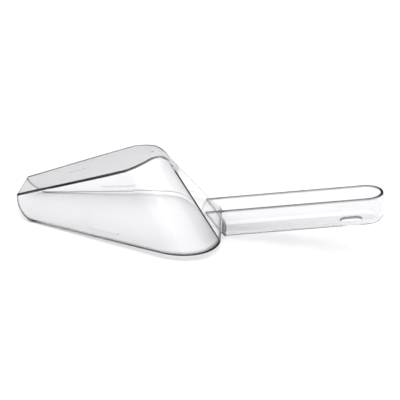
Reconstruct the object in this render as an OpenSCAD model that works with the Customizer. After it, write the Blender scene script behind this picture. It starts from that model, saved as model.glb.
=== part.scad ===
// Clear ice scoop: a tapered pan with an open mouth, and a channel handle with a hang slot.
//
// The scoop lies upside down on the rim of its pan, as it is put away to drain: the pan's floor
// is uppermost, its mouth points to -X and its handle to +X. Both pieces are drawn in the rim's
// own frame (x back from the start of the rim, y across, z up from the rim), and settled() then
// stands them on z = 0, where the front of the rim and the handle's heel carry them.

/* [Pan] */
// Length of the rim, from the mouth to the rear edge
rim_len = 122; // [110:1:134]
// Width over the rim at the mouth
rim_front_w = 51.5; // [44:0.5:60]
// Width that the sides would reach at the rear edge if its corners were sharp
rim_rear_w = 122; // [112:1:132]
// Radius of the two rear corners at the rim
rear_r = 29.5; // [24:0.5:31]
// Radius of the two rear corners at 50 mm above the rim
rear_r_50 = 21.5; // [14:0.5:22]
// How far the floor's front edge stands ahead of the rim
floor_lead = 14.5; // [12:0.5:18]
// Height of the floor's front edge above the rim, which is also the radius of the mouth's corners
mouth_h = 14.5; // [12:0.5:18]
// Rise of the floor towards the back, in degrees
floor_rise = 21.5; // [18:0.5:23]
// Lean of the side walls from the vertical, in degrees
side_lean = 23.5; // [20:0.5:25]
// Lean of the back wall from the vertical, in degrees
back_lean = 41.5; // [38:0.5:44]
// Radius of the bend from the floor to the back wall
bend_r = 12; // [8:1:16]

/* [Wall] */
// Thickness of every wall
wall = 2; // [1.6:0.1:2.4]

/* [Handle] */
// Length of the handle's straight walls, from the back wall to the centre of the round end
grip_len = 106; // [96:1:112]
// Width over the handle's open side
grip_w = 24; // [22:0.5:26]
// Depth of the channel, outside
grip_d = 20.5; // [19:0.5:22]
// Radius of the channel's two outer bottom edges
grip_edge_r = 5.5; // [4:0.5:7]
// Draft of the handle's walls, in degrees
grip_draft = 1; // [0.5:0.5:2]
// Rise of the handle from the rim's plane, in degrees
grip_rise = 11.8; // [10:0.2:13]
// Height above the rim at which the handle's open edges meet the back wall
grip_root_h = 13.8; // [12:0.2:15]

/* [Hang slot] */
// Length of the slot
slot_len = 14.5; // [12:0.5:18]
// Width of the slot, which has round ends
slot_w = 7; // [5:0.5:8]
// Distance from the centre of the handle's round end back to the centre of the slot
slot_back = 10; // [8:0.5:16]

/* [Hidden] */

clear_plastic = [0.93, 0.94, 0.95, 0.45];
far = 400; // larger than the whole scoop
thin = 0.01; // thickness of the slices that a hull joins
ref_h = 50; // height at which rear_r_50 is stated
top_h = 56; // height to which the pan's upright walls are drawn before the floor cuts them off
open_y = 150; // how far each side of the upright walls runs on before the other side cuts it off
round_fn = 128; // facets of a full turn
arc_steps = 24; // facets of one round stretch of a side view

// Slopes of the pan's planes, as distance moved per millimetre
side_taper = (rim_rear_w - rim_front_w) / 2 / rim_len; // outwards, going back
side_slope = tan(side_lean); // inwards, going up
back_slope = tan(back_lean); // forwards, going up
floor_slope = tan(floor_rise); // up, going back
side_stretch = sqrt(1 + side_taper ^ 2); // radius to y offset at a side wall

// Inset of each plane, measured along its own axis, that leaves a wall one unit thick
side_inset = sqrt(1 + side_taper ^ 2 + side_slope ^ 2);
back_inset = sqrt(1 + back_slope ^ 2);
corner_inset = 1.2;
facet_cut = 0.15; // depth to which the flat of the back wall cuts into the round corners

// The upright walls at height z, moved inwards by t: half width, rear edge and rear corner
function side_y(x, z, t) = rim_front_w / 2 + side_taper * x - side_slope * z - t * side_inset;
function rear_x(z, t) = rim_len - back_slope * z - t * back_inset;
function corner_r(z, t) = rear_r + (rear_r_50 - rear_r) * z / ref_h - t * corner_inset;
function corner_x(z, t) = rear_x(z, t) + facet_cut - corner_r(z, t);
function corner_y(z, t) = side_y(corner_x(z, t), z, t) - corner_r(z, t) * side_stretch;

// The floor, the back wall and the bend between them, seen from the side and moved inwards by t
function floor_z(x, t) = mouth_h + (x + floor_lead) * floor_slope - t / cos(floor_rise);
// The bend's centre is one radius inside both planes
bend_x = (rim_len - bend_r * back_inset
    - back_slope * (mouth_h + floor_lead * floor_slope - bend_r / cos(floor_rise)))
    / (1 + back_slope * floor_slope);
bend_z = floor_z(bend_x, bend_r);

// The handle's section: centre of each round bottom edge, out from the middle and up from the top
edge_x = grip_w / 2 - (grip_d - grip_edge_r) * tan(grip_draft) - grip_edge_r / cos(grip_draft);
edge_z = grip_edge_r - grip_d;

// The handle's own frame starts where its open side's centre line meets the back wall
root_x = rear_x(grip_root_h, 0);
// The heel is the low front corner of the handle's closed side
heel_run = (rim_len - root_x - grip_d * sin(grip_rise)
    + back_slope * (grip_d * cos(grip_rise) - grip_root_h))
    / (cos(grip_rise) + back_slope * sin(grip_rise));
heel_x = root_x + grip_d * sin(grip_rise) + heel_run * cos(grip_rise);
heel_z = grip_root_h - grip_d * cos(grip_rise) + heel_run * sin(grip_rise);

// Resting pose: the rim tips up until the heel is as low as the rim's front
rest_tip = atan2(-heel_z, heel_x);
grip_tilt = grip_rise + rest_tip;
front_end = -floor_lead * cos(rest_tip) - mouth_h * sin(rest_tip);
rear_end = root_x * cos(rest_tip) - grip_root_h * sin(rest_tip)
    + (grip_len + edge_x) * cos(grip_tilt) - edge_z * sin(grip_tilt) + grip_edge_r;
centre_x = (front_end + rear_end) / 2;

// ---- Shared placement ----

module settled() {
    translate([-centre_x, 0, 0])
        rotate([0, -rest_tip, 0])
            children();
}

// ---- Pan ----

// One horizontal slice of one side of the upright walls, moved inwards by t
module wall_slice(z, t) {
    x = -2 * floor_lead;
    tangent_x = corner_x(z, t) - corner_r(z, t) * side_taper / side_stretch;
    edge = corner_x(z, t) + corner_r(z, t);
    translate([0, 0, z]) {
        linear_extrude(thin)
            polygon([[x, -open_y], [x, side_y(x, z, t)], [tangent_x, side_y(tangent_x, z, t)],
                     [edge, corner_y(z, t)], [edge, -open_y]]);
        translate([corner_x(z, t), corner_y(z, t), 0])
            cylinder(r = corner_r(z, t), h = thin, $fn = round_fn);
    }
}

// One flared side with its conical rear corner, running on past the middle
module wall_side(t, z_low) {
    hull() {
        wall_slice(z_low, t);
        wall_slice(top_h, t);
    }
}

// The flared sides, the slanted back and the conical rear corners, as one solid
module upright_walls(t, z_low) {
    intersection() {
        wall_side(t, z_low);
        mirror([0, 1, 0]) wall_side(t, z_low);
    }
}

// Points of a round stretch about a centre, from one angle to another
function arc(x, z, r, from, to) =
    [for (i = [0:arc_steps]) let (a = from + (to - from) * i / arc_steps) [x + r * cos(a), z + r * sin(a)]];

// Side view of the pan, moved inwards by t: the floor, the bend and the back wall
module side_view(t, x_low, z_low) {
    polygon(concat(
        [[x_low, z_low], [x_low, floor_z(x_low, t)]],
        arc(bend_x, bend_z, bend_r - t, 90 + floor_rise, back_lean),
        [[rear_x(z_low, t), z_low]]));
}

// What the round corner of the mouth takes off the side view
module mouth_corner() {
    polygon(concat(
        [[-far, mouth_h]],
        arc(mouth_h - floor_lead, mouth_h, mouth_h, 180, 270),
        [[mouth_h - floor_lead, -wall], [-far, -wall]]));
}

// Turns a side view into a solid as wide as the whole scoop
module across() {
    rotate([90, 0, 0])
        translate([0, 0, -far / 2])
            linear_extrude(far)
                children();
}

module pan() {
    color(clear_plastic)
        settled()
            difference() {
                intersection() {
                    upright_walls(0, -wall);
                    across() difference() {
                        side_view(0, -floor_lead, 0);
                        mouth_corner();
                    }
                }
                intersection() {
                    upright_walls(wall, -2 * wall);
                    across() side_view(wall, -2 * floor_lead, -wall);
                }
            }
}

// ---- Handle ----

// Half of the channel's section, moved inwards by t: x is out from the middle, y is up
module half_section(t) {
    edge_r = grip_edge_r - t;
    polygon([[0, t], [grip_w / 2 - t / cos(grip_draft) + t * tan(grip_draft), t],
             [edge_x + edge_r * cos(grip_draft), edge_z - edge_r * sin(grip_draft)],
             [edge_x, edge_z], [edge_x, edge_z - edge_r], [0, edge_z - edge_r]]);
    translate([edge_x, edge_z])
        circle(r = edge_r, $fn = round_fn);
}

// The channel's outside, or with t the space inside it, with its round end
module grip_solid(t) {
    lead = 2 * grip_d; // runs on into the pan, where the back wall cuts it off
    for (side = [0, 1])
        translate([-lead, 0, 0])
            rotate([90, 0, 90])
                linear_extrude(grip_len + lead)
                    mirror([side, 0, 0])
                        half_section(t);
    translate([grip_len, 0, 0])
        rotate([0, 0, -90])
            rotate_extrude(angle = 180, $fn = round_fn)
                intersection() {
                    half_section(t);
                    translate([0, -grip_d])
                        square([grip_w, 2 * grip_d]);
                }
}

// A slot with round ends, cut down through the closed side
module hang_slot() {
    run = (slot_len - slot_w) / 2;
    translate([grip_len - slot_back, 0, -grip_d - 1]) {
        for (end = [-1, 1])
            translate([end * run, 0, 0])
                cylinder(d = slot_w, h = grip_edge_r, $fn = round_fn);
        translate([-run, -slot_w / 2, 0])
            cube([2 * run, slot_w, grip_edge_r]);
    }
}

// Everything in front of the back wall's outer face moved back by t
module ahead_of_back(t) {
    translate([rim_len, 0, 0])
        rotate([0, -back_lean, 0])
            translate([t - far, -far / 2, -far / 2])
                cube(far);
}

// Closes the channel's end where it hangs below the rim
module heel_web() {
    intersection() {
        ahead_of_back(wall);
        translate([0, -far / 2, -far])
            cube([far, far, far]);
    }
}

// Moves the handle's own frame to where it meets the back wall
module at_root() {
    translate([root_x, 0, grip_root_h])
        rotate([0, -grip_rise, 0])
            children();
}

module handle() {
    color(clear_plastic)
        settled()
            difference() {
                at_root() grip_solid(0);
                difference() {
                    at_root() grip_solid(wall);
                    heel_web();
                }
                at_root() hang_slot();
                ahead_of_back(0);
            }
}

pan();
handle();
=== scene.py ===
"""A clear plastic ice scoop at rest: upside down on the rim of its pan, its handle rising behind it.

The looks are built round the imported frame. Sizes are in millimetres in the rim's own frame
(x back from the start of the rim, y across, z up from the rim), and RestPose turns them into
metres in the row frame.
"""

import logging
import math
from collections.abc import Callable
from dataclasses import dataclass
from enum import Enum

import bmesh
import bpy
from mathutils import Matrix, Vector


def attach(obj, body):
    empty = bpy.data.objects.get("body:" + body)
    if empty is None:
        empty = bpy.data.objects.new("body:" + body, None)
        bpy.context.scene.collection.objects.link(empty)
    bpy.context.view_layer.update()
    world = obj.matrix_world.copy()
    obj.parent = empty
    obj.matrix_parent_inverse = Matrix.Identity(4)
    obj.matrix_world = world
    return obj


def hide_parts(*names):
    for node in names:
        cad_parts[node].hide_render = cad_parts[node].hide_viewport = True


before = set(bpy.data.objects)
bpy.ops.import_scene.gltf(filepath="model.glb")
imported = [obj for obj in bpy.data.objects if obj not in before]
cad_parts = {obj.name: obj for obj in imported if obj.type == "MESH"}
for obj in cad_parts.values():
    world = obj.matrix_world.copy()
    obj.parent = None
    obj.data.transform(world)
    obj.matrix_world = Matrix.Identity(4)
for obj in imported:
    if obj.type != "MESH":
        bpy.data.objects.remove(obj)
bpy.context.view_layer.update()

log = logging.getLogger("scoop")

MM = 0.001
BODY = "root"
WEIGHT_LAYER = "bevel_weight_edge"

Row = list[bmesh.types.BMVert]
Point = tuple[float, float, float]
Flat = tuple[float, float]


class Slot(Enum):
    """The record's material slots."""

    PAN = "clear_pan"
    HANDLE = "clear_handle"


class Node(Enum):
    """The CAD nodes that the pieces stand for."""

    PAN = "pan"
    HANDLE = "handle"


# ---- Sizes ----


@dataclass(frozen=True)
class PanSize:
    """Sizes of the pan in millimetres and degrees, as in the CAD source, and of its rounded edges.

    The crease's rounding reaches crease_front at the mouth, crease_top at the bend and crease_back
    at the back wall. Inside the pan it reaches crease_inner less, and at least crease_least.
    """

    rim_len: float = 122.0
    rim_front_w: float = 51.5
    rim_rear_w: float = 122.0
    rear_r: float = 29.5
    rear_r_high: float = 21.5
    high: float = 50.0
    floor_lead: float = 14.5
    mouth_h: float = 14.5
    floor_rise: float = 21.5
    side_lean: float = 23.5
    back_lean: float = 41.5
    bend_r: float = 12.0
    wall: float = 2.0
    corner_inset: float = 1.2
    facet_cut: float = 0.15
    crease_front: float = 0.9
    crease_top: float = 5.0
    crease_back: float = 0.6
    crease_inner: float = 1.06
    crease_least: float = 0.4
    rim_r: float = 0.95

    @property
    def side_taper(self) -> float:
        """Gives the outward slope of the sides, going back.

        Returns:
            The slope.
        """
        return (self.rim_rear_w - self.rim_front_w) / 2 / self.rim_len

    @property
    def side_slope(self) -> float:
        """Gives the inward slope of the sides, going up.

        Returns:
            The slope.
        """
        return math.tan(math.radians(self.side_lean))

    @property
    def back_slope(self) -> float:
        """Gives the forward slope of the back wall, going up.

        Returns:
            The slope.
        """
        return math.tan(math.radians(self.back_lean))

    @property
    def floor_slope(self) -> float:
        """Gives the upward slope of the floor, going back.

        Returns:
            The slope.
        """
        return math.tan(math.radians(self.floor_rise))

    @property
    def back_inset(self) -> float:
        """Gives the distance along x that moves the back wall one unit.

        Returns:
            The distance.
        """
        return math.hypot(1, self.back_slope)

    def bend_centre(self) -> Flat:
        """Finds the centre of the bend from the floor to the back wall.

        Returns:
            Its x and z.
        """
        drop = self.bend_r / math.cos(math.radians(self.floor_rise))
        rise = self.mouth_h + self.floor_lead * self.floor_slope - drop
        x = self.rim_len - self.bend_r * self.back_inset - self.back_slope * rise
        x /= 1 + self.back_slope * self.floor_slope
        return x, rise + x * self.floor_slope


@dataclass(frozen=True)
class GripSize:
    """Sizes of the handle and its hang slot in millimetres and degrees, as in the CAD source.

    The heel's web, the gap at the back wall and the rounded edges are this model's own.
    """

    length: float = 106.0
    width: float = 24.0
    depth: float = 20.5
    edge_r: float = 5.5
    draft: float = 1.0
    rise: float = 11.8
    root_h: float = 13.8
    slot_len: float = 14.5
    slot_w: float = 7.0
    slot_back: float = 10.0
    wall: float = 2.0
    joint_gap: float = 0.06
    joint_r: float = 0.9
    web: float = 0.6
    rim_r: float = 0.8
    slot_r: float = 0.35

    @property
    def edge_x(self) -> float:
        """Gives how far from the middle the centre of each round bottom edge is.

        Returns:
            The distance.
        """
        lean = math.radians(self.draft)
        run = (self.depth - self.edge_r) * math.tan(lean)
        return self.width / 2 - run - self.edge_r / math.cos(lean)

    @property
    def edge_z(self) -> float:
        """Gives the height of the centre of each round bottom edge.

        Returns:
            The height above the open side, which is negative.
        """
        return self.edge_r - self.depth


@dataclass(frozen=True)
class PaintedShadeBand:
    """Where a piece's open rim lies in metres, and how wide and how dark the painted shade along it is.

    A piece with a quarter round lip also has the lip's centre and radius.
    """

    point: Point
    normal: Point
    lip_centre: Point = (9.0, 0.0, 9.0)
    lip_radius: float = 0.0
    # Width of the painted shade band, and how far it darkens the base colour.
    width: float = 0.0019
    shade: float = 0.9


class RestPose:
    """Where the resting scoop's rim frame and handle frame lie in the row frame."""

    def __init__(self, pan: PanSize, grip: GripSize) -> None:
        """Works out the tip of the rim and the centre of the whole scoop.

        Args:
            pan: Sizes of the pan.
            grip: Sizes of the handle.
        """
        rise = math.radians(grip.rise)
        self.rise = rise
        self.root_h = grip.root_h
        self.root_x = pan.rim_len - pan.back_slope * grip.root_h
        across = math.cos(rise) + pan.back_slope * math.sin(rise)
        self.start_slope = (pan.back_slope * math.cos(rise) - math.sin(rise)) / across
        self.start_per_gap = pan.back_inset / across
        heel_x, heel_z = self.from_grip(grip.depth * self.start_slope, -grip.depth)
        self.tip = math.atan2(-heel_z, heel_x)
        front = -pan.floor_lead * math.cos(self.tip) - pan.mouth_h * math.sin(self.tip)
        end_x, end_z = self.from_grip(grip.length + grip.edge_x, grip.edge_z)
        end = end_x * math.cos(self.tip) - end_z * math.sin(self.tip) + grip.edge_r
        self.centre_x = (front + end) / 2

    def from_grip(self, s: float, u: float) -> Flat:
        """Turns a place in the handle's own frame into the rim's frame.

        Args:
            s: Distance along the handle from its root.
            u: Height above the handle's open side.

        Returns:
            The x and z in the rim's frame.
        """
        x = self.root_x + s * math.cos(self.rise) - u * math.sin(self.rise)
        z = self.root_h + s * math.sin(self.rise) + u * math.cos(self.rise)
        return x, z

    def place(self, point: Point) -> Vector:
        """Turns a point of the rim's frame, in millimetres, into the row frame, in metres.

        Args:
            point: The point's x, y and z.

        Returns:
            The point in the row frame.
        """
        x, y, z = point
        back = x * math.cos(self.tip) - z * math.sin(self.tip) - self.centre_x
        up = z * math.cos(self.tip) + x * math.sin(self.tip)
        return Vector((back, y, up)) * MM

    def place_grip(self, s: float, y: float, u: float) -> Vector:
        """Turns a point of the handle's frame, in millimetres, into the row frame, in metres.

        Args:
            s: Distance along the handle.
            y: Distance across.
            u: Height above the open side.

        Returns:
            The point in the row frame.
        """
        x, z = self.from_grip(s, u)
        return self.place((x, y, z))


# ---- Meshes ----


class ShellMesh:
    """A mesh in the making, with a rounding radius on some of its edges."""

    def __init__(self, name: str) -> None:
        """Starts an empty mesh.

        Args:
            name: Name of the piece.
        """
        self.name = name
        self.bm = bmesh.new()
        self.weights = self.bm.edges.layers.float.new(WEIGHT_LAYER)
        self.radii: list[tuple[bmesh.types.BMVert, bmesh.types.BMVert, float]] = []

    def row(self, points: list[Vector]) -> Row:
        """Adds a row of vertices.

        Args:
            points: Their places in the row frame.

        Returns:
            The vertices in the same order.
        """
        return [self.bm.verts.new(p) for p in points]

    def face(self, corners: Row) -> None:
        """Adds a face, leaving out repeated corners.

        Args:
            corners: Its corners in order.
        """
        self.bm.faces.new(list(dict.fromkeys(corners)))

    def band(self, first: Row, second: Row, closed: bool = False) -> None:
        """Joins two rows of the same length with quads.

        Args:
            first: One row.
            second: The other row.
            closed: Whether the rows are loops.
        """
        count = len(first)
        for i in range(count if closed else count - 1):
            j = (i + 1) % count
            self.face([first[i], first[j], second[j], second[i]])

    def round_edges(self, line: Row, radius: float, closed: bool = False) -> None:
        """Marks the edges along a row of vertices for rounding.

        Args:
            line: The vertices in order.
            radius: Rounding radius in millimetres.
            closed: Whether the row is a loop.
        """
        count = len(line)
        for i in range(count if closed else count - 1):
            self.radii.append((line[i], line[(i + 1) % count], radius))

    def finish(self, segments: int = 3) -> bpy.types.Object:
        """Closes the mesh and makes it an object with rounded edges and even shading.

        Args:
            segments: Segments of each rounded edge.

        Returns:
            The object, linked to the scene.
        """
        widest = max((r for _, _, r in self.radii), default=0.0)
        for a, b, radius in self.radii:
            edge = self.bm.edges.get((a, b))
            if edge is not None:
                edge[self.weights] = radius / widest
        bmesh.ops.recalc_face_normals(self.bm, faces=self.bm.faces)
        for face in self.bm.faces:
            face.smooth = True
        mesh = bpy.data.meshes.new(self.name)
        self.bm.to_mesh(mesh)
        self.bm.free()
        piece = bpy.data.objects.new(self.name, mesh)
        bpy.context.scene.collection.objects.link(piece)
        if widest:
            bevel = piece.modifiers.new("rounded_edges", "BEVEL")
            bevel.limit_method = "WEIGHT"
            bevel.offset_type = "OFFSET"
            bevel.width = widest * MM
            bevel.segments = segments
            bevel.use_clamp_overlap = False
        shading = piece.modifiers.new("even_shading", "WEIGHTED_NORMAL")
        shading.mode = "FACE_AREA"
        shading.weight = 80
        shading.keep_sharp = False
        return piece


def between(a: float, b: float, share: float) -> float:
    """Gives the value that lies a share of the way from a to b.

    Args:
        a: Value at share 0.
        b: Value at share 1.
        share: Share of the way.

    Returns:
        The value.
    """
    return a + (b - a) * share


def steps(count: int) -> list[float]:
    """Gives evenly spaced shares from 0 to 1.

    Args:
        count: Number of steps, one less than the number of shares.

    Returns:
        The shares.
    """
    return [i / count for i in range(count + 1)]


def smooth(share: float) -> float:
    """Eases a share in and out.

    Args:
        share: A share, which is first held between 0 and 1.

    Returns:
        The eased share.
    """
    share = min(1.0, max(0.0, share))
    return share * share * (3 - 2 * share)


def crossing(low: float, high: float, value: Callable[[float], float]) -> float:
    """Finds where a rising function passes zero.

    Args:
        low: A place where it is below zero.
        high: A place where it is above zero.
        value: The function.

    Returns:
        The place.
    """
    for _ in range(50):
        middle = (low + high) / 2
        if value(middle) < 0:
            low = middle
        else:
            high = middle
    return (low + high) / 2


@dataclass(frozen=True)
class PanGrid:
    """How finely the pan's skins are divided."""

    flat: int = 8
    cone: int = 10
    bend: int = 14
    down: int = 8
    across: int = 8
    crease: int = 5


class PanSkin:
    """One skin of the pan: its outer surface, or with an inset its inner surface."""

    FRONT_X = -20.0
    CORNER_PULL = 0.012
    CORNER_POWER = 12
    RISE_FROM = 0.4
    FALL_OVER = 0.55

    def __init__(self, size: PanSize, grid: PanGrid, inset: float) -> None:
        """Sets up the skin.

        Args:
            size: Sizes of the pan.
            grid: Divisions.
            inset: Distance inwards from the outer surface, in millimetres.
        """
        self.size = size
        self.grid = grid
        self.inset = inset
        self.stretch = math.hypot(1, size.side_taper)
        side_inset = math.sqrt(1 + size.side_taper**2 + size.side_slope**2)
        self.side_shift = inset * side_inset
        self.side_angle = math.pi / 2 + math.atan(size.side_taper)

    def side_y(self, x: float, z: float) -> float:
        """Gives the half width between the flat sides.

        Args:
            x: Distance back.
            z: Height.

        Returns:
            The half width.
        """
        size = self.size
        return size.rim_front_w / 2 + size.side_taper * x - size.side_slope * z - self.side_shift

    def rear_x(self, z: float) -> float:
        """Gives the back wall's x at a height.

        Args:
            z: Height.

        Returns:
            The x.
        """
        size = self.size
        return size.rim_len - size.back_slope * z - self.inset * size.back_inset

    def corner(self, z: float) -> Point:
        """Gives the circle of the round rear corner at a height.

        Args:
            z: Height.

        Returns:
            The centre's x and y, and the radius.
        """
        size = self.size
        radius = between(size.rear_r, size.rear_r_high, z / size.high)
        radius -= self.inset * size.corner_inset
        x = self.rear_x(z) + size.facet_cut - radius
        return x, self.side_y(x, z) - radius * self.stretch, radius

    def tangent_x(self, z: float) -> float:
        """Gives the x at which the flat side turns into the round corner.

        Args:
            z: Height.

        Returns:
            The x.
        """
        x, _, radius = self.corner(z)
        return x + radius * math.cos(self.side_angle)

    def end_angle(self, z: float) -> float:
        """Gives the angle at which the round corner meets the flat back wall.

        Args:
            z: Height.

        Returns:
            The angle in radians, from +x.
        """
        x, _, radius = self.corner(z)
        return math.acos((self.rear_x(z) - x) / radius)

    def wall_point(self, share: float, z: float) -> Point:
        """Gives a point of the far side wall.

        Args:
            share: From 0 to 1 along the flat side, then from 1 to 2 round the corner.
            z: Height.

        Returns:
            The point.
        """
        if share <= 1:
            x = between(self.FRONT_X, self.tangent_x(z), share)
            return x, self.side_y(x, z), z
        x, y, radius = self.corner(z)
        angle = between(self.side_angle, self.end_angle(z), share - 1)
        return x + radius * math.cos(angle), y + radius * math.sin(angle), z

    def wall_share(self, x: float, z: float) -> float:
        """Gives the share along the wall of a place, the inverse of wall_point.

        Args:
            x: Distance back.
            z: Height.

        Returns:
            The share, from 0 to 2.
        """
        tangent = self.tangent_x(z)
        if x <= tangent:
            return (x - self.FRONT_X) / (tangent - self.FRONT_X)
        centre, _, radius = self.corner(z)
        angle = math.acos(max(-1.0, min(1.0, (x - centre) / radius)))
        return 1 + (angle - self.side_angle) / (self.end_angle(z) - self.side_angle)

    def floor_z(self, x: float) -> float:
        """Gives the floor's height at x.

        Args:
            x: Distance back.

        Returns:
            The height.
        """
        size = self.size
        drop = self.inset / math.cos(math.radians(size.floor_rise))
        return size.mouth_h + (x + size.floor_lead) * size.floor_slope - drop

    def mouth_x(self, z: float) -> float:
        """Gives the x of the mouth's round corner at a height.

        Args:
            z: Height.

        Returns:
            The x.
        """
        radius = self.size.mouth_h
        return radius - self.size.floor_lead - math.sqrt(max(0.0, radius**2 - (radius - z) ** 2))

    def bend_point(self, angle: float) -> Flat:
        """Gives a point of the bend in the side view.

        Args:
            angle: Angle in radians about the bend's centre.

        Returns:
            The x and z.
        """
        x, z = self.size.bend_centre()
        radius = self.size.bend_r - self.inset
        return x + radius * math.cos(angle), z + radius * math.sin(angle)

    def roof_line(self) -> list[Flat]:
        """Traces the floor and the bend in the side view, from the mouth to the back wall.

        Returns:
            Their points as x and z.
        """
        size, grid = self.size, self.grid
        first = math.radians(90 + size.floor_rise)
        last = math.radians(size.back_lean)
        start = crossing(
            -size.floor_lead, 0, lambda x: x - self.mouth_x(min(self.floor_z(x), size.mouth_h))
        )
        top = self.bend_point(first)[0]
        turn = crossing(start, top, lambda x: x - self.tangent_x(self.floor_z(x)))
        line = [between(start, turn, k) for k in steps(grid.flat)]
        line += [between(turn, top, k) for k in steps(grid.cone)[1:]]
        points = [(x, self.floor_z(x)) for x in line]
        return points + [self.bend_point(between(first, last, k)) for k in steps(grid.bend)[1:]]

    def back_line(self) -> list[Flat]:
        """Traces the back wall in the side view, from below the bend down to the rim.

        Returns:
            Its points as x and z.
        """
        top = self.bend_point(math.radians(self.size.back_lean))[1]
        heights = [between(top, 0, k) for k in steps(self.grid.down)]
        return [(self.rear_x(z), z) for z in heights]

    def setbacks(self) -> list[float]:
        """Gives how far the rounding of the crease reaches, which is furthest in the bend.

        Returns:
            The reach at each point of the roof line, in millimetres.
        """
        size, grid = self.size, self.grid
        count = grid.flat + grid.cone + grid.bend
        rise_from, rise_to = self.RISE_FROM * grid.flat, grid.flat + grid.cone
        fall_from = count - self.FALL_OVER * grid.bend
        reaches = []
        for i in range(count + 1):
            if i < fall_from:
                share = smooth((i - rise_from) / (rise_to - rise_from))
                reach = between(size.crease_front, size.crease_top, share)
            else:
                share = smooth((i - fall_from) / (count - fall_from))
                reach = between(size.crease_top, size.crease_back, share)
            reaches.append(reach)
        if self.inset:
            reaches = [max(size.crease_least, reach - size.crease_inner) for reach in reaches]
        return reaches

    def column_point(self, mouth: Flat, head: Flat, k: float) -> Point:
        """Gives the place a share of the way down a column of the wall.

        Args:
            mouth: Share along the wall and height of the first column's top.
            head: Share along the wall and height of the column's top.
            k: Share of the way down.

        Returns:
            The point.
        """
        share, z = head
        start, high = mouth
        radius = self.size.mouth_h
        rim_start = self.wall_share(0.0, 0.0)
        open_angle = math.acos(min(1.0, (radius - high) / radius))
        lead = max(0.0, (1 - share) / (1 - start))
        low = share if share > 1 else between(1, rim_start, lead)
        front_z = radius - radius * math.cos(open_angle * (1 - k))
        front_share = self.wall_share(self.mouth_x(front_z), front_z)
        pull = lead**2
        at = between(share, low, k) + pull * (front_share - between(start, rim_start, k))
        return self.wall_point(at, between(z, 0, k) + pull * (front_z - between(high, 0, k)))

    def wall_columns(self) -> tuple[list[list[Point]], list[Point]]:
        """Lays a grid on the far side wall, in columns from the rounded crease down to the rim.

        Returns:
            The columns, from the mouth to the back wall, and the points of the sharp crease.
        """
        down = steps(self.grid.down)
        top = [(self.wall_share(x, z), z) for x, z in self.roof_line()]
        top[-1] = (2.0, top[-1][1])
        columns = []
        for (share, z), reach in zip(top, self.setbacks()):
            ends = [self.column_point(top[0], (share, z), k) for k in (0, 1)]
            length = math.dist(*ends)
            turn = min(1.0, max(0.0, share - 1))
            head = (share - reach * self.CORNER_PULL * turn**self.CORNER_POWER, z)
            shares = [between(reach / length, 1, k) for k in down]
            columns.append([self.column_point(top[0], head, k) for k in shares])
        crease = [self.column_point(top[0], head, 0) for head in top]
        crease += [self.wall_point(2.0, z) for _, z in self.back_line()[1:]]
        return columns, crease


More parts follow.
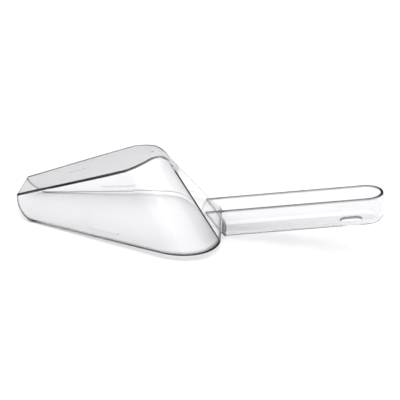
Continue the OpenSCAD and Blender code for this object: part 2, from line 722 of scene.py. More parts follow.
class Pan:
    """The tapered pan with its open mouth, as one clear shell with rounded edges."""

    CREASE_PULL = 0.88

    def __init__(self, size: PanSize, pose: RestPose, grid: PanGrid = PanGrid()) -> None:
        """Keeps the sizes.

        Args:
            size: Sizes of the pan.
            pose: Where the scoop rests.
            grid: Divisions of the skins.
        """
        self.size = size
        self.pose = pose
        self.grid = grid
        self.outer = PanSkin(size, grid, 0.0)
        self.piece: bpy.types.Object | None = None

    def _rounding(self, wall: Vector, crease: Vector, roof: Vector) -> list[Vector]:
        """Rounds the crease between a point of the wall and a point of the roof.

        Args:
            wall: Where the rounding leaves the wall.
            crease: The sharp crease.
            roof: Where the rounding reaches the roof.

        Returns:
            The points between them, and the point of the roof.
        """
        points = []
        for k in steps(self.grid.crease)[1:]:
            shares = ((1 - k) ** 2, 2 * k * (1 - k) * self.CREASE_PULL, k**2)
            total = wall * shares[0] + crease * shares[1] + roof * shares[2]
            points.append(total / sum(shares))
        return points

    def _skin(self, mesh: ShellMesh, skin: PanSkin) -> Row:
        """Adds one skin to the mesh.

        Args:
            mesh: The mesh.
            skin: The skin.

        Returns:
            The loop of vertices round the skin's open side.
        """
        place = self.pose.place
        columns, crease = skin.wall_columns()
        far = [mesh.row([place(p) for p in column]) for column in columns]
        near = [mesh.row([place((x, -y, z)) for x, y, z in column]) for column in columns]
        lows = [column[0] for column in columns] + columns[-1][1:]
        reaches = skin.setbacks()
        reaches += [reaches[-1]] * (len(crease) - len(reaches))
        near_ends = [column[0] for column in near] + near[-1][1:]
        far_ends = [column[0] for column in far] + far[-1][1:]
        roof = []
        for low, sharp, reach, first, last in zip(lows, crease, reaches, near_ends, far_ends):
            half = sharp[1] - reach
            edge = self._rounding(place(low), place(sharp), place((sharp[0], half, sharp[2])))
            spread = [between(-half, half, k) for k in steps(self.grid.across)[1:-1]]
            middle = [place((sharp[0], y, sharp[2])) for y in spread]
            mirrored = [Vector((p.x, -p.y, p.z)) for p in edge]
            roof.append([first, *mesh.row(mirrored + middle + edge[::-1]), last])
        for rows in (near, far, roof):
            for first, second in zip(rows, rows[1:]):
                mesh.band(first, second)
        loop = roof[0][::-1] + near[0][1:] + [column[-1] for column in near[1:]]
        loop += roof[-1][1:] + [column[-1] for column in far[-2::-1]]
        return loop + far[0][-2:0:-1]

    def painted_shade_band(self) -> PaintedShadeBand:
        """Finds the rim and the lip in the row frame, where the finish gets painted shade.

        Returns:
            The band.
        """
        size, place = self.size, self.pose.place
        point = place((0.0, 0.0, 0.0))
        return PaintedShadeBand(
            point=tuple(point),
            normal=tuple((place((0.0, 0.0, 1.0)) - point).normalized()),
            lip_centre=tuple(place((size.mouth_h - size.floor_lead, 0.0, size.mouth_h))),
            lip_radius=size.mouth_h * MM,
        )

    def build(self) -> bpy.types.Object:
        """Builds the shell.

        Returns:
            The piece.
        """
        mesh = ShellMesh("pan_shell")
        inner = PanSkin(self.size, self.grid, self.size.wall)
        outside = self._skin(mesh, self.outer)
        inside = self._skin(mesh, inner)
        mesh.band(outside, inside, closed=True)
        for loop in (outside, inside):
            mesh.round_edges(loop, self.size.rim_r, closed=True)
        self.piece = mesh.finish()
        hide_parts(Node.PAN.value)
        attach(self.piece, BODY)
        return self.piece

    def dress(self, material: bpy.types.Material) -> None:
        """Gives the shell its finish.

        Args:
            material: The finish.
        """
        self.piece.data.materials.append(material)


@dataclass(frozen=True)
class GripGrid:
    """How finely the handle's skins are divided."""

    joint: int = 5
    straight: int = 12
    beside_slot: int = 8
    turn: int = 40
    edge_step: float = 7.0
    slot_lead: float = 12.0
    slot_end: int = 8


class GripSkin:
    """One skin of the channel: its outer surface, or with an inset its inner surface."""

    def __init__(self, size: GripSize, pose: RestPose, angles: list[float], inset: float) -> None:
        """Sets up the skin.

        Args:
            size: Sizes of the handle.
            pose: Where the scoop rests.
            angles: Angles at which the round bottom edge is divided, in radians.
            inset: Distance inwards from the outer surface, in millimetres.
        """
        self.size = size
        self.pose = pose
        self.inset = inset
        radius = size.edge_r - inset
        top = size.width / 2 - inset / math.cos(math.radians(size.draft))
        self.profile: list[Flat] = [(top, 0.0)]
        self.flares: list[Flat] = [(1.0, 0.0)]
        for a in angles:
            x = size.edge_x + radius * math.cos(a)
            self.profile.append((x, size.edge_z + radius * math.sin(a)))
            self.flares.append((math.cos(a) ** 3, math.sin(a) * math.cos(a) ** 2))

    def start(self, u: float) -> float:
        """Gives the s at which a line of the skin begins, at the back wall or at the heel's web.

        Args:
            u: Height of the line above the open side.

        Returns:
            The s.
        """
        pose = self.pose
        wall = -u * pose.start_slope + self.size.joint_gap * pose.start_per_gap
        if not self.inset:
            return wall
        level = (-pose.root_h - u * math.cos(pose.rise)) / math.sin(pose.rise)
        return min(max(level, wall), wall + self.size.web * pose.start_per_gap)

    def flared(self, line: int, share: float) -> Point:
        """Gives a point of the rounded foot where a line of the skin meets the back wall.

        Args:
            line: Index of the line.
            share: Share of the foot's length, from the back wall.

        Returns:
            The point's distance along, out from the middle and up from the open side.
        """
        radius = self.size.joint_r
        spread = radius * (1 - math.sqrt(1 - (1 - share) ** 2))
        if self.inset:
            spread = -spread
        x = self.profile[line][0] + spread * self.flares[line][0]
        u = self.profile[line][1] + spread * self.flares[line][1]
        return self.start(u) + radius * share, x, u


class Handle:
    """The channel handle with its round end and hang slot, as one clear shell."""

    def __init__(self, size: GripSize, pose: RestPose, grid: GripGrid = GripGrid()) -> None:
        """Keeps the sizes.

        Args:
            size: Sizes of the handle.
            pose: Where the scoop rests.
            grid: Divisions of the skins.
        """
        self.size = size
        self.pose = pose
        self.grid = grid
        self.piece: bpy.types.Object | None = None
        self.slot_x = size.length - size.slot_back
        self.slot_from = self.slot_x - grid.slot_lead

    def _web_angles(self) -> Flat:
        """Finds where the inner skin's round edge meets the top of the heel's web.

        Returns:
            The two angles in radians, at the back wall and at the web's back.
        """
        pose, size = self.pose, self.size
        radius = size.edge_r - size.wall
        per_u = math.cos(pose.rise) - pose.start_slope * math.sin(pose.rise)
        found = []
        for gap in (size.joint_gap, size.joint_gap + size.web):
            level = pose.root_h + gap * pose.start_per_gap * math.sin(pose.rise)
            found.append(math.asin((-level / per_u - size.edge_z) / radius))
        return found[0], found[1]

    def _angles(self) -> list[float]:
        """Divides the round bottom edge, with divisions where the heel's web begins and ends.

        Returns:
            The angles in radians, from the wall down to the flat bottom.
        """
        upper, lower = self._web_angles()
        stops = [-math.radians(self.size.draft), upper, lower, -math.pi / 2]
        angles = [stops[0]]
        for a, b in zip(stops, stops[1:]):
            count = 1 if a == upper else max(1, round(math.degrees(a - b) / self.grid.edge_step))
            angles += [between(a, b, k) for k in steps(count)[1:]]
        return angles

    def _outline(self, straight: list[float], x: float) -> list[Flat]:
        """Follows an outline up one side, on beside the slot, round the end and back down.

        Args:
            straight: Distances along the handle of its first stretch.
            x: Its distance from the middle.

        Returns:
            Its points, as distances along and across.
        """
        grid, length = self.grid, self.size.length
        side = straight + [between(self.slot_from, length, k) for k in steps(grid.beside_slot)[1:]]
        angles = [math.pi * (k - 0.5) for k in steps(grid.turn)[1:-1]]
        turn = [(length + x * math.cos(a), x * math.sin(a)) for a in angles]
        return [(s, -x) for s in side] + turn + [(s, x) for s in reversed(side)]

    def _path(self, mesh: ShellMesh, skin: GripSkin, line: int) -> Row:
        """Adds one line of a skin, with its rounded foot at each end.

        Args:
            mesh: The mesh.
            skin: The skin.
            line: Index of the line.

        Returns:
            The line's vertices.
        """
        grid, place = self.grid, self.pose.place_grip
        x, u = skin.profile[line]
        foot = [skin.flared(line, k**2) for k in steps(grid.joint)]
        start = foot[-1][0]
        straight = [between(start, self.slot_from, k) for k in steps(grid.straight)[1:]]
        points = [place(s, -y, h) for s, y, h in foot]
        points += [place(s, y, u) for s, y in self._outline(straight, x)]
        points += [place(s, y, h) for s, y, h in reversed(foot)]
        return mesh.row(points)

    def _slot_point(self, s: float, y: float, u: float) -> Vector:
        """Finds the slot's edge in the direction of a point from the slot's centre.

        Args:
            s: The point's distance along the handle.
            y: The point's distance across.
            u: Height of the face above the open side.

        Returns:
            The place on the slot's edge.
        """
        radius = self.size.slot_w / 2
        run = (self.size.slot_len - self.size.slot_w) / 2
        angle = math.atan2(y, s - self.slot_x)
        dx, dy = math.cos(angle), math.sin(angle)
        reach = radius / abs(dy) if abs(dy) > 1e-9 else math.inf
        if abs(dx) * reach > run:
            side = math.copysign(run, dx)
            reach = side * dx + math.sqrt(max(0.0, (side * dx) ** 2 - run**2 + radius**2))
        return self.pose.place_grip(self.slot_x + reach * dx, reach * dy, u)

    def _bottom(self, mesh: ShellMesh, edge: Row, u: float, x: float) -> Row:
        """Fills the flat bottom of a skin, leaving the hang slot open.

        Args:
            mesh: The mesh.
            edge: The line of vertices round the flat bottom.
            u: Its height above the open side.
            x: Its distance from the middle.

        Returns:
            The loop of vertices round the slot.
        """
        grid, place = self.grid, self.pose.place_grip
        lead = grid.joint + grid.straight
        near = edge[: lead + 1]
        far = edge[::-1][: lead + 1]
        mesh.band(near[:-1], far[:-1])
        closing = [between(x, -x, k) for k in steps(grid.slot_end)[1:-1]]
        line = mesh.row([place(self.slot_from, y, u) for y in closing])
        mesh.face([near[-2], far[-2], far[-1], *line, near[-1]])
        ring = edge[lead : len(edge) - lead] + line
        spots = self._outline([self.slot_from], x) + [(self.slot_from, y) for y in closing]
        slot = mesh.row([self._slot_point(s, y, u) for s, y in spots])
        mesh.band(ring, slot, closed=True)
        return slot

    def _root(self, mesh: ShellMesh, outer: list[Row], inner: list[Row], web: int) -> None:
        """Closes the channel's end: two strips beside the pan's back wall, and the heel's web.

        Args:
            mesh: The mesh.
            outer: Lines of the outer skin.
            inner: Lines of the inner skin.
            web: Index of the line at which the web begins.
        """
        for end in (0, -1):
            strips = [[line[end] for line in lines[: web + 1]] for lines in (outer, inner)]
            mesh.band(*strips)
        front = [line[0] for line in outer[web:]] + [line[-1] for line in reversed(outer[web:])]
        mesh.face(front + [inner[web][-1], inner[web][0]])
        mesh.face([inner[web][0], inner[web][-1], inner[web + 1][-1], inner[web + 1][0]])
        lower = inner[web + 1 :]
        mesh.face([line[0] for line in lower] + [line[-1] for line in reversed(lower)])

    def painted_shade_band(self) -> PaintedShadeBand:
        """Finds the rim of the open side in the row frame, where the finish gets painted shade.

        Returns:
            The band.
        """
        point = self.pose.place_grip(0.0, 0.0, 0.0)
        normal = (self.pose.place_grip(0.0, 0.0, 1.0) - point).normalized()
        return PaintedShadeBand(point=tuple(point), normal=tuple(normal))

    def build(self) -> bpy.types.Object:
        """Builds the channel.

        Returns:
            The piece.
        """
        mesh = ShellMesh("handle_channel")
        angles = self._angles()
        skins = [GripSkin(self.size, self.pose, angles, t) for t in (0.0, self.size.wall)]
        lines, slots = [], []
        for skin in skins:
            rows = [self._path(mesh, skin, line) for line in range(len(skin.profile))]
            for first, second in zip(rows, rows[1:]):
                mesh.band(first, second)
            x, u = skin.profile[-1]
            slots.append(self._bottom(mesh, rows[-1], u, x))
            lines.append(rows)
        mesh.band(lines[0][0], lines[1][0])
        mesh.band(slots[0], slots[1], closed=True)
        upper, _ = self._web_angles()
        self._root(mesh, lines[0], lines[1], 1 + angles.index(upper))
        for rows, slot in zip(lines, slots):
            mesh.round_edges(rows[0], self.size.rim_r)
            mesh.round_edges(slot, self.size.slot_r, closed=True)
        self.piece = mesh.finish()
        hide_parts(Node.HANDLE.value)
        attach(self.piece, BODY)
        return self.piece

    def dress(self, material: bpy.types.Material) -> None:
        """Gives the channel its finish.

        Args:
            material: The finish.
        """
        self.piece.data.materials.append(material)


# ---- Small moulded marks on the pan ----


@dataclass(frozen=True)
class MarkSize:
    """Sizes and places of the small raised marks, in millimetres."""

    lift: float = 0.03
    rib_from: float = 35.0
    rib_to: float = 56.4
    rib_z: float = 5.1
    rib_w: float = 1.1
    rib_h: float = 0.85
    gate_x: float = 71.0
    gate_r: float = 1.2
    gate_h: float = 0.18
    dash_from: float = 16.6
    dash_len: float = 3.0
    dash_gap: float = 1.4
    dash_count: int = 3
    dash_w: float = 0.7
    dash_h: float = 0.18


class SmallMarks:
    """Two stacking ribs, the gate's round mark and a row of dashes on the floor."""

    def __init__(self, size: MarkSize, pan: Pan) -> None:
        """Keeps the sizes.

        Args:
            size: Sizes of the marks.
            pan: The pan that they are on.
        """
        self.size = size
        self.pan = pan
        self.pieces: list[bpy.types.Object] = []

    def _bar(
        self, mesh: ShellMesh, ends: tuple[Vector, Vector], normal: Vector, w: float, h: float
    ) -> None:
        """Adds a low bar with a round back and tapered ends.

        Args:
            mesh: The mesh.
            ends: Middles of its two ends, on the surface.
            normal: The surface's outward normal.
            w: Width in millimetres.
            h: Height in millimetres.
        """
        along = (ends[1] - ends[0]).normalized()
        side = normal.cross(along).normalized()
        length = (ends[1] - ends[0]).length
        taper = min(w * MM, length / 4)
        places = [(0.0, 0.35), (taper * 0.4, 0.8), (taper, 1.0)]
        places += [(length - s, k) for s, k in reversed(places)]
        rows = []
        for s, scale in places:
            arc = [math.pi * k for k in steps(8)]
            middle = ends[0] + along * s + normal * (self.size.lift * MM)
            points = [
                middle
                + side * (math.cos(a) * w / 2 * scale * MM)
                + normal * (math.sin(a) * h * scale * MM)
                for a in arc
            ]
            rows.append(mesh.row(points))
        for first, second in zip(rows, rows[1:]):
            mesh.band(first, second, closed=True)
        mesh.face(rows[0])
        mesh.face(rows[-1])

    def _ribs(self) -> None:
        """Builds the two stacking ribs low on the side walls."""
        size, skin, place = self.size, self.pan.outer, self.pan.pose.place
        for name, side in (("rib_near", -1), ("rib_far", 1)):
            mesh = ShellMesh(name)
            spots = []
            low, high = size.rib_z, 2 * size.rib_z
            for x, z in ((size.rib_from, low), (size.rib_to, low), (size.rib_from, high)):
                spots.append(place((x, side * skin.side_y(x, z), z)))
            normal = (spots[1] - spots[0]).cross(spots[2] - spots[0]).normalized()
            if normal.y * side < 0:
                normal.negate()
            self._bar(mesh, (spots[0], spots[1]), normal, size.rib_w, size.rib_h)
            self.pieces.append(mesh.finish())

    def _dashes(self) -> None:
        """Builds the row of dashes on the floor's middle line."""
        size, skin, place = self.size, self.pan.outer, self.pan.pose.place
        mesh = ShellMesh("floor_dashes")
        pitch = size.dash_len + size.dash_gap
        across = Vector((0, 1, 0))
        for i in range(size.dash_count):
            first = size.dash_from + i * pitch
            ends = [place((x, 0.0, skin.floor_z(x))) for x in (first, first + size.dash_len)]
            normal = (ends[1] - ends[0]).cross(across).normalized()
            self._bar(mesh, (ends[0], ends[1]), normal, size.dash_w, size.dash_h)
        self.pieces.append(mesh.finish())

    def _gate(self) -> None:
        """Builds the gate's mark, a low round cap at the start of the bend."""
        size, pan = self.size, self.pan.size
        x, z = pan.bend_centre()
        angle = math.acos((size.gate_x - x) / pan.bend_r)
        radial = Vector((math.cos(angle), math.sin(angle)))
        along = Vector((radial.y, -radial.x))
        mesh = ShellMesh("gate_mark")
        rows = []
        for share, rise in ((1.0, 0.0), (0.9, 0.5), (0.6, 0.85), (0.2, 1.0)):
            reach = pan.bend_r + size.lift + rise * size.gate_h
            points = []
            for k in steps(24)[:-1]:
                turn = 2 * math.pi * k
                at = radial * reach + along * (math.cos(turn) * size.gate_r * share)
                y = math.sin(turn) * size.gate_r * share
                points.append(self.pan.pose.place((x + at.x, y, z + at.y)))
            rows.append(mesh.row(points))
        for first, second in zip(rows, rows[1:]):
            mesh.band(first, second, closed=True)
        mesh.face(rows[0])
        mesh.face(rows[-1])
        self.pieces.append(mesh.finish())

    def build(self) -> list[bpy.types.Object]:
        """Builds all the marks.

        Returns:
            The pieces.
        """
        self._ribs()
        self._dashes()
        self._gate()
        for piece in self.pieces:
            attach(piece, BODY)
        return self.pieces

    def dress(self, material: bpy.types.Material) -> None:
        """Gives the marks the pan's finish.

        Args:
            material: The finish.
        """
        for piece in self.pieces:
            piece.data.materials.append(material)


# ---- Finishes ----


class Nodes:
    """Adds and links the nodes of one tree."""

    def __init__(self, tree: bpy.types.NodeTree) -> None:
        """Keeps the tree.

        Args:
            tree: The node tree.
        """
        self.tree = tree

    def add(self, kind: str, values: dict | None = None, **settings) -> bpy.types.Node:
        """Adds a node.

        Args:
            kind: The node's type.
            values: Input values by input name.
            **settings: Properties of the node.

        Returns:
            The node.
        """
        node = self.tree.nodes.new(kind)
        for name, value in settings.items():
            setattr(node, name, value)
        for name, value in (values or {}).items():
            node.inputs[name].default_value = value
        return node

    def link(self, source: bpy.types.NodeSocket, target: bpy.types.NodeSocket) -> None:
        """Links two sockets.

        Args:
            source: The output.
            target: The input.
        """
        self.tree.links.new(source, target)

    def maths(self, operation: str, *values: float | bpy.types.NodeSocket) -> bpy.types.NodeSocket:
        """Adds a Math node.

        Args:
            operation: The operation.
            *values: Numbers or sockets, in order.

        Returns:
            The result.
        """
        node = self.add("ShaderNodeMath", operation=operation)
        self.give(node, values)
        return node.outputs[0]

    def vectors(self, operation: str, *values: Point | bpy.types.NodeSocket) -> bpy.types.Node:
        """Adds a Vector Math node.

        Args:
            operation: The operation.
            *values: Vectors or sockets, in order.

        Returns:
            The node.
        """
        node = self.add("ShaderNodeVectorMath", operation=operation)
        self.give(node, values)
        return node

    def give(self, node: bpy.types.Node, values: tuple) -> None:
        """Sets or links the first inputs of a node.

        Args:
            node: The node.
            values: Values or sockets, in order.
        """
        for socket, value in zip(node.inputs, values):
            if isinstance(value, bpy.types.NodeSocket):
                self.link(value, socket)
            else:
                socket.default_value = value

    def fade_out(
        self, distance: bpy.types.NodeSocket, width: bpy.types.NodeSocket
    ) -> bpy.types.NodeSocket:
        """Turns a distance into a mask that fades from 1 to 0 over a width.

        Args:
            distance: The distance, of either sign.
            width: The width.

        Returns:
            The mask.
        """
        share = self.maths("DIVIDE", self.maths("ABSOLUTE", distance), width)
        fade = self.add("ShaderNodeMapRange", {"To Min": 1.0, "To Max": 0.0})
        fade.interpolation_type = "SMOOTHSTEP"
        self.link(share, fade.inputs["Value"])
        return fade.outputs["Result"]

    def group(self, tree: bpy.types.NodeTree, values: dict) -> bpy.types.Node:
        """Adds a group node.

        Args:
            tree: The group.
            values: Input values by input name.

        Returns:
            The node.
        """
        node = self.add("ShaderNodeGroup", node_tree=tree)
        for name, value in values.items():
            node.inputs[name].default_value = value
        return node

    def declare(self, in_out: str, kind: str, *names: str) -> None:
        """Declares sockets of the tree, which is a group.

        Args:
            in_out: INPUT or OUTPUT.
            kind: Vector, Float or Color.
            *names: The sockets' names.
        """
        for name in names:
            self.tree.interface.new_socket(name, in_out=in_out, socket_type="NodeSocket" + kind)


class HandlingWear:
    """The node group of fine wear that both clear finishes share."""

    NAME = "HandlingWear"

    @classmethod
    def get(cls) -> bpy.types.NodeTree:
        """Gives the group, and builds it the first time.

        Returns:
            The group.
        """
        return bpy.data.node_groups.get(cls.NAME) or cls._build()

    @classmethod
    def _build(cls) -> bpy.types.NodeTree:
        """Builds the group: hairline scratches, smudges and the slow wave of a moulded surface.

        Returns:
            The group.
        """
        tree = bpy.data.node_groups.new(cls.NAME, "ShaderNodeTree")
        nodes = Nodes(tree)
        nodes.declare("INPUT", "Vector", "Vector")
        nodes.declare("INPUT", "Float", "Polish", "Scratches", "Smudges", "Wave", "Tint Shift")
        nodes.declare("INPUT", "Color", "Tint")
        nodes.declare("OUTPUT", "Float", "Roughness", "Height")
        nodes.declare("OUTPUT", "Color", "Color")
        given = nodes.add("NodeGroupInput").outputs
        result = nodes.add("NodeGroupOutput")

        hairs = None
        for turn, stretch in ((0.4, (900.0, 26.0, 26.0)), (1.9, (26.0, 760.0, 60.0))):
            lie = nodes.add("ShaderNodeMapping", {"Rotation": (0.0, 0.0, turn), "Scale": stretch})
            nodes.link(given["Vector"], lie.inputs["Vector"])
            noise = nodes.add("ShaderNodeTexNoise", {"Scale": 1.0, "Detail": 2.0, "Distortion": 0.6})
            nodes.link(lie.outputs["Vector"], noise.inputs["Vector"])
            narrow = nodes.add("ShaderNodeMapRange", {"From Min": 0.66, "From Max": 0.76})
            nodes.link(noise.outputs["Fac"], narrow.inputs["Value"])
            hair = narrow.outputs["Result"]
            hairs = hair if hairs is None else nodes.maths("MAXIMUM", hairs, hair)

        patches = nodes.add("ShaderNodeTexNoise", {"Scale": 42.0, "Detail": 4.0, "Roughness": 0.6})
        nodes.link(given["Vector"], patches.inputs["Vector"])
        smudge = nodes.add("ShaderNodeMapRange", {"From Min": 0.5, "From Max": 0.78})
        nodes.link(patches.outputs["Fac"], smudge.inputs["Value"])

        flow = nodes.add("ShaderNodeTexNoise", {"Scale": 24.0, "Detail": 1.0})
        nodes.link(given["Vector"], flow.inputs["Vector"])

        scratched = nodes.maths("MULTIPLY", hairs, given["Scratches"])
        smudged = nodes.maths("MULTIPLY", smudge.outputs["Result"], given["Smudges"])
        rough = nodes.maths("ADD", nodes.maths("ADD", given["Polish"], scratched), smudged)
        nodes.link(rough, result.inputs["Roughness"])

        waved = nodes.maths("MULTIPLY", flow.outputs["Fac"], given["Wave"])
        cut = nodes.maths("MULTIPLY", scratched, -0.2)
        nodes.link(nodes.maths("ADD", waved, cut), result.inputs["Height"])

        uneven = nodes.maths("SUBTRACT", flow.outputs["Fac"], 0.5)
        shift = nodes.maths("MULTIPLY", uneven, given["Tint Shift"])
        bright = nodes.add("ShaderNodeHueSaturation")
        nodes.link(nodes.maths("ADD", shift, 1.0), bright.inputs["Value"])
        nodes.link(given["Tint"], bright.inputs["Color"])
        nodes.link(bright.outputs["Color"], result.inputs["Color"])
        return tree


class RimPaintedShade:
    """The node group of painted shade: a narrow band along an open rim, darkened to stand in for the
    dark edge that clear plastic shows.
    """

    NAME = "RimPaintedShade"

    @classmethod
    def get(cls) -> bpy.types.NodeTree:
        """Gives the group, and builds it the first time.

        Returns:
            The group.
        """
        return bpy.data.node_groups.get(cls.NAME) or cls._build()

    @classmethod
    def _build(cls) -> bpy.types.NodeTree:
        """Builds the group: a band of painted shade over a plane, and one inside a quarter round lip.

        Returns:
            The group.
        """
        tree = bpy.data.node_groups.new(cls.NAME, "ShaderNodeTree")
        nodes = Nodes(tree)
        nodes.declare("INPUT", "Vector", "Vector", "Rim Point", "Rim Normal", "Lip Centre")
        nodes.declare("INPUT", "Float", "Lip Radius", "Width")
        nodes.declare("OUTPUT", "Float", "Mask")
        given = nodes.add("NodeGroupInput").outputs
        result = nodes.add("NodeGroupOutput")

        # Painted shade fades out over the width, from the rim's plane and from the inside of the lip.
        above = nodes.vectors("SUBTRACT", given["Vector"], given["Rim Point"]).outputs["Vector"]
        height = nodes.vectors("DOT_PRODUCT", above, given["Rim Normal"]).outputs["Value"]
        out = nodes.vectors("SUBTRACT", given["Vector"], given["Lip Centre"]).outputs["Vector"]
        flat = nodes.vectors("MULTIPLY", out, (1.0, 0.0, 1.0)).outputs["Vector"]
        reach = nodes.vectors("LENGTH", flat).outputs["Value"]
        parts = nodes.add("ShaderNodeSeparateXYZ")
        nodes.link(flat, parts.inputs["Vector"])
        ahead = nodes.maths("LESS_THAN", parts.outputs["X"], 0.0)
        below = nodes.maths("LESS_THAN", parts.outputs["Z"], given["Width"])
        lip = nodes.fade_out(nodes.maths("SUBTRACT", given["Lip Radius"], reach), given["Width"])
        lip = nodes.maths("MULTIPLY", lip, nodes.maths("MULTIPLY", ahead, below))
        rim = nodes.fade_out(height, given["Width"])
        nodes.link(nodes.maths("MAXIMUM", rim, lip), result.inputs["Mask"])
        return tree


@dataclass(frozen=True)
class ClearPlastic:
    """A clear moulded plastic, with painted shade along its open rim."""

    name: str
    # Where the painted shade along the open rim lies, and how dark it is.
    rim: PaintedShadeBand
    tint: tuple[float, float, float] = (0.967, 0.965, 0.975)
    ior: float = 1.58
    polish: float = 0.004
    scratches: float = 0.05
    smudges: float = 0.03
    wave: float = 0.6
    tint_shift: float = 0.03
    bump: float = 0.05
    bump_depth: float = 0.0002
    shadow: float = 0.99
    body_tint: tuple[float, float, float] = (0.8, 0.8, 0.82)
    body_density: float = 60.0

    def make(self) -> bpy.types.Material:
        """Makes the material.

        Returns:
            The material.
        """
        material = bpy.data.materials.new(self.name)
        material.use_nodes = True
        material.node_tree.nodes.clear()
        nodes = Nodes(material.node_tree)
        where = nodes.add("ShaderNodeTexCoord")
        wear = nodes.group(
            HandlingWear.get(),
            {
                "Polish": self.polish,
                "Scratches": self.scratches,
                "Smudges": self.smudges,
                "Wave": self.wave,
                "Tint Shift": self.tint_shift,
                "Tint": (*self.tint, 1.0),
            },
        )
        nodes.link(where.outputs["Object"], wear.inputs["Vector"])
        bump = nodes.add("ShaderNodeBump", {"Strength": self.bump, "Distance": self.bump_depth})
        nodes.link(wear.outputs["Height"], bump.inputs["Height"])
        clear = nodes.add(
            "ShaderNodeBsdfPrincipled",
            {"IOR": self.ior, "Transmission Weight": 1.0, "Metallic": 0.0},
        )
        # Painted shade: the base colour darkens in a narrow band along the open rim and inside the lip,
        # deepening the dark edge lines of the clear plastic.
        rim = nodes.group(
            RimPaintedShade.get(),
            {
                "Rim Point": self.rim.point,
                "Rim Normal": self.rim.normal,
                "Lip Centre": self.rim.lip_centre,
                "Lip Radius": self.rim.lip_radius,
                "Width": self.rim.width,
            },
        )
        nodes.link(where.outputs["Object"], rim.inputs["Vector"])
        rim_painted_shade = nodes.add("ShaderNodeHueSaturation")
        darker = nodes.maths("MULTIPLY", rim.outputs["Mask"], -self.rim.shade)
        nodes.link(nodes.maths("ADD", darker, 1.0), rim_painted_shade.inputs["Value"])
        nodes.link(wear.outputs["Color"], rim_painted_shade.inputs["Color"])
        nodes.link(rim_painted_shade.outputs["Color"], clear.inputs["Base Color"])
        nodes.link(wear.outputs["Roughness"], clear.inputs["Roughness"])
        nodes.link(bump.outputs["Normal"], clear.inputs["Normal"])
        shade = (self.shadow, self.shadow, self.shadow, 1.0)
        passing = nodes.add("ShaderNodeBsdfTransparent", {"Color": shade})
        rays = nodes.add("ShaderNodeLightPath")
        choice = nodes.add("ShaderNodeMixShader")
        nodes.link(rays.outputs["Is Shadow Ray"], choice.inputs[0])
        nodes.link(clear.outputs["BSDF"], choice.inputs[1])
        nodes.link(passing.outputs["BSDF"], choice.inputs[2])
        inside = nodes.add(
            "ShaderNodeVolumeAbsorption",
            {"Color": (*self.body_tint, 1.0), "Density": self.body_density},
        )
        output = nodes.add("ShaderNodeOutputMaterial")
        nodes.link(choice.outputs["Shader"], output.inputs["Surface"])
        nodes.link(inside.outputs["Volume"], output.inputs["Volume"])
        return material


@dataclass(frozen=True)
class PaleFloor:
    """The plain pale surface that the scoop rests on."""

    color: tuple[float, float, float] = (0.93, 0.93, 0.93)
    roughness: float = 0.9
    roughness_spread: float = 0.05
    grain: float = 400.0

    def make(self) -> bpy.types.Material:
        """Makes the material.

        Returns:
            The material.
        """
        material = bpy.data.materials.new("pale_floor")
        material.use_nodes = True
        nodes = Nodes(material.node_tree)
        surface = material.node_tree.nodes["Principled BSDF"]
        surface.inputs["Base Color"].default_value = (*self.color, 1.0)
        surface.inputs["Specular IOR Level"].default_value = 0.0
        grain = nodes.add("ShaderNodeTexNoise", {"Scale": self.grain, "Detail": 3.0})
        low, high = self.roughness - self.roughness_spread, self.roughness + self.roughness_spread
        spread = nodes.add("ShaderNodeMapRange", {"To Min": low, "To Max": high})
        nodes.link(grain.outputs["Fac"], spread.inputs["Value"])
        nodes.link(spread.outputs["Result"], surface.inputs["Roughness"])
        return material


# ---- Studio ----


@dataclass(frozen=True)
class CameraSize:
    """Where the camera stands, in metres and degrees."""

    target: Point = (-0.0014, 0.0, 0.0203)
    distance: float = 0.5655
    azimuth: float = -1.05
    elevation: float = 24.0
    roll: float = 8.0
    lens: float = 75.9


@dataclass(frozen=True)
class LightSize:
    """The softboxes and the surroundings."""

    floor_half: float = 4.0
    floor_gap: float = 0.0003
    sky: float = 1.55
    horizon: float = 0.22
    sky_from: float = 0.36
    sky_full: float = 0.9
    side_dark: float = 0.1
    key_place: Point = (0.1, 0.3, 2.2)
    key_watts: float = 24.0
    key_edge: float = 3.2
    fill_place: Point = (1.4, -0.6, 1.2)
    fill_watts: float = 5.0
    fill_edge: float = 2.2


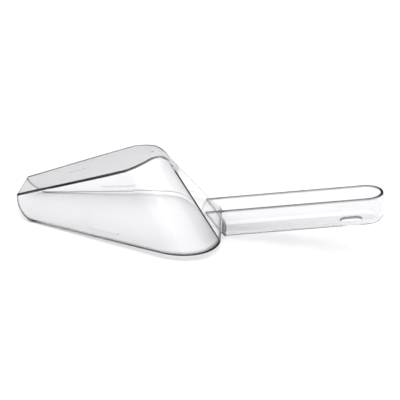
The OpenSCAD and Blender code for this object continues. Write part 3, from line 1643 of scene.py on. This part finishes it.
class Studio:
    """Pale floor, soft lights, surroundings and camera."""

    def __init__(self, camera: CameraSize, light: LightSize, floor: PaleFloor) -> None:
        """Keeps the sizes.

        Args:
            camera: Where the camera stands.
            light: The lights.
            floor: The floor's finish.
        """
        self.camera = camera
        self.light = light
        self.floor = floor

    def _floor(self) -> None:
        """Builds the floor."""
        half = self.light.floor_half
        level = -self.light.floor_gap
        bm = bmesh.new()
        signs = ((-1, -1), (1, -1), (1, 1), (-1, 1))
        bm.faces.new([bm.verts.new((x * half, y * half, level)) for x, y in signs])
        mesh = bpy.data.meshes.new("studio_floor")
        bm.to_mesh(mesh)
        bm.free()
        mesh.materials.append(self.floor.make())
        floor = bpy.data.objects.new("studio_floor", mesh)
        bpy.context.scene.collection.objects.link(floor)

    def _softbox(self, name: str, place: Point, watts: float, edge: float) -> None:
        """Adds a square area light that faces the scoop.

        Args:
            name: Its name.
            place: Where it stands, in metres.
            watts: Its power.
            edge: Its edge length in metres.
        """
        data = bpy.data.lights.new(name, "AREA")
        data.energy = watts
        data.size = edge
        lamp = bpy.data.objects.new(name, data)
        bpy.context.scene.collection.objects.link(lamp)
        lamp.location = place
        lamp.rotation_euler = (-Vector(place)).to_track_quat("-Z", "Y").to_euler()

    def _surroundings(self) -> None:
        """Makes the surroundings: bright overhead and darker towards the horizon."""
        light = self.light
        world = bpy.data.worlds.new("studio")
        world.use_nodes = True
        bpy.context.scene.world = world
        world.node_tree.nodes.clear()
        nodes = Nodes(world.node_tree)
        where = nodes.add("ShaderNodeTexCoord")
        parts = nodes.add("ShaderNodeSeparateXYZ")
        nodes.link(where.outputs["Generated"], parts.inputs["Vector"])
        ramp = nodes.add("ShaderNodeMapRange", {"From Min": light.sky_from, "From Max": light.sky_full})
        ramp.interpolation_type = "SMOOTHSTEP"
        ramp.inputs["To Min"].default_value = light.horizon
        ramp.inputs["To Max"].default_value = light.sky
        sideways = nodes.maths("ABSOLUTE", parts.outputs["X"])
        lowered = nodes.maths("MULTIPLY", sideways, light.side_dark)
        level = nodes.maths("SUBTRACT", parts.outputs["Z"], lowered)
        nodes.link(level, ramp.inputs["Value"])
        glow = nodes.add("ShaderNodeBackground", {"Color": (1.0, 1.0, 1.0, 1.0)})
        nodes.link(ramp.outputs["Result"], glow.inputs["Strength"])
        output = nodes.add("ShaderNodeOutputWorld")
        nodes.link(glow.outputs["Background"], output.inputs["Surface"])

    def _camera(self) -> None:
        """Stands the camera in its place."""
        size = self.camera
        azimuth, elevation = math.radians(size.azimuth), math.radians(size.elevation)
        back = Vector(
            (
                math.sin(azimuth) * math.cos(elevation),
                -math.cos(azimuth) * math.cos(elevation),
                math.sin(elevation),
            )
        )
        data = bpy.data.cameras.new("camera")
        data.lens = size.lens
        data.sensor_width = 36.0
        data.clip_start = 0.01
        data.clip_end = 50.0
        camera = bpy.data.objects.new("camera", data)
        bpy.context.scene.collection.objects.link(camera)
        turn = (-back).to_track_quat("-Z", "Y").to_matrix().to_4x4()
        roll = Matrix.Rotation(math.radians(size.roll), 4, "Z")
        stand = Matrix.Translation(Vector(size.target) + back * size.distance)
        camera.matrix_world = stand @ turn @ roll
        bpy.context.scene.camera = camera

    def build(self) -> None:
        """Builds the studio."""
        light = self.light
        self._floor()
        self._softbox("key", light.key_place, light.key_watts, light.key_edge)
        self._softbox("fill", light.fill_place, light.fill_watts, light.fill_edge)
        self._surroundings()
        self._camera()
        scene = bpy.context.scene
        scene.view_settings.view_transform = "Standard"
        scene.cycles.max_bounces = 24
        scene.cycles.transmission_bounces = 20
        scene.cycles.transparent_max_bounces = 24
        scene.cycles.glossy_bounces = 8
        scene.cycles.caustics_refractive = True
        scene.cycles.caustics_reflective = False


# ---- The whole scene ----


def main() -> None:
    """Builds the scoop and its studio in order, and reports each step."""
    logging.basicConfig(level=logging.INFO, format="%(name)s: %(message)s")
    pan_size, grip_size = PanSize(), GripSize()
    pose = RestPose(pan_size, grip_size)
    log.info("rim tips %.2f degrees", math.degrees(pose.tip))

    pan = Pan(pan_size, pose)
    pan_finish = ClearPlastic("clear_pan_plastic", pan.painted_shade_band()).make()
    handle = Handle(grip_size, pose)
    grip_finish = ClearPlastic("clear_handle_plastic", handle.painted_shade_band(), body_density=150.0).make()

    pan.build()
    pan.dress(pan_finish)
    log.info("pan built")

    marks = SmallMarks(MarkSize(), pan)
    marks.build()
    marks.dress(pan_finish)
    log.info("%d marks built", len(marks.pieces))

    handle.build()
    handle.dress(grip_finish)
    log.info("handle built")

    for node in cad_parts.values():
        node.data.materials.clear()
        node.data.materials.append(pan_finish if node.name == Node.PAN.value else grip_finish)

    Studio(CameraSize(), LightSize(), PaleFloor()).build()


if __name__ == "__main__":
    main()
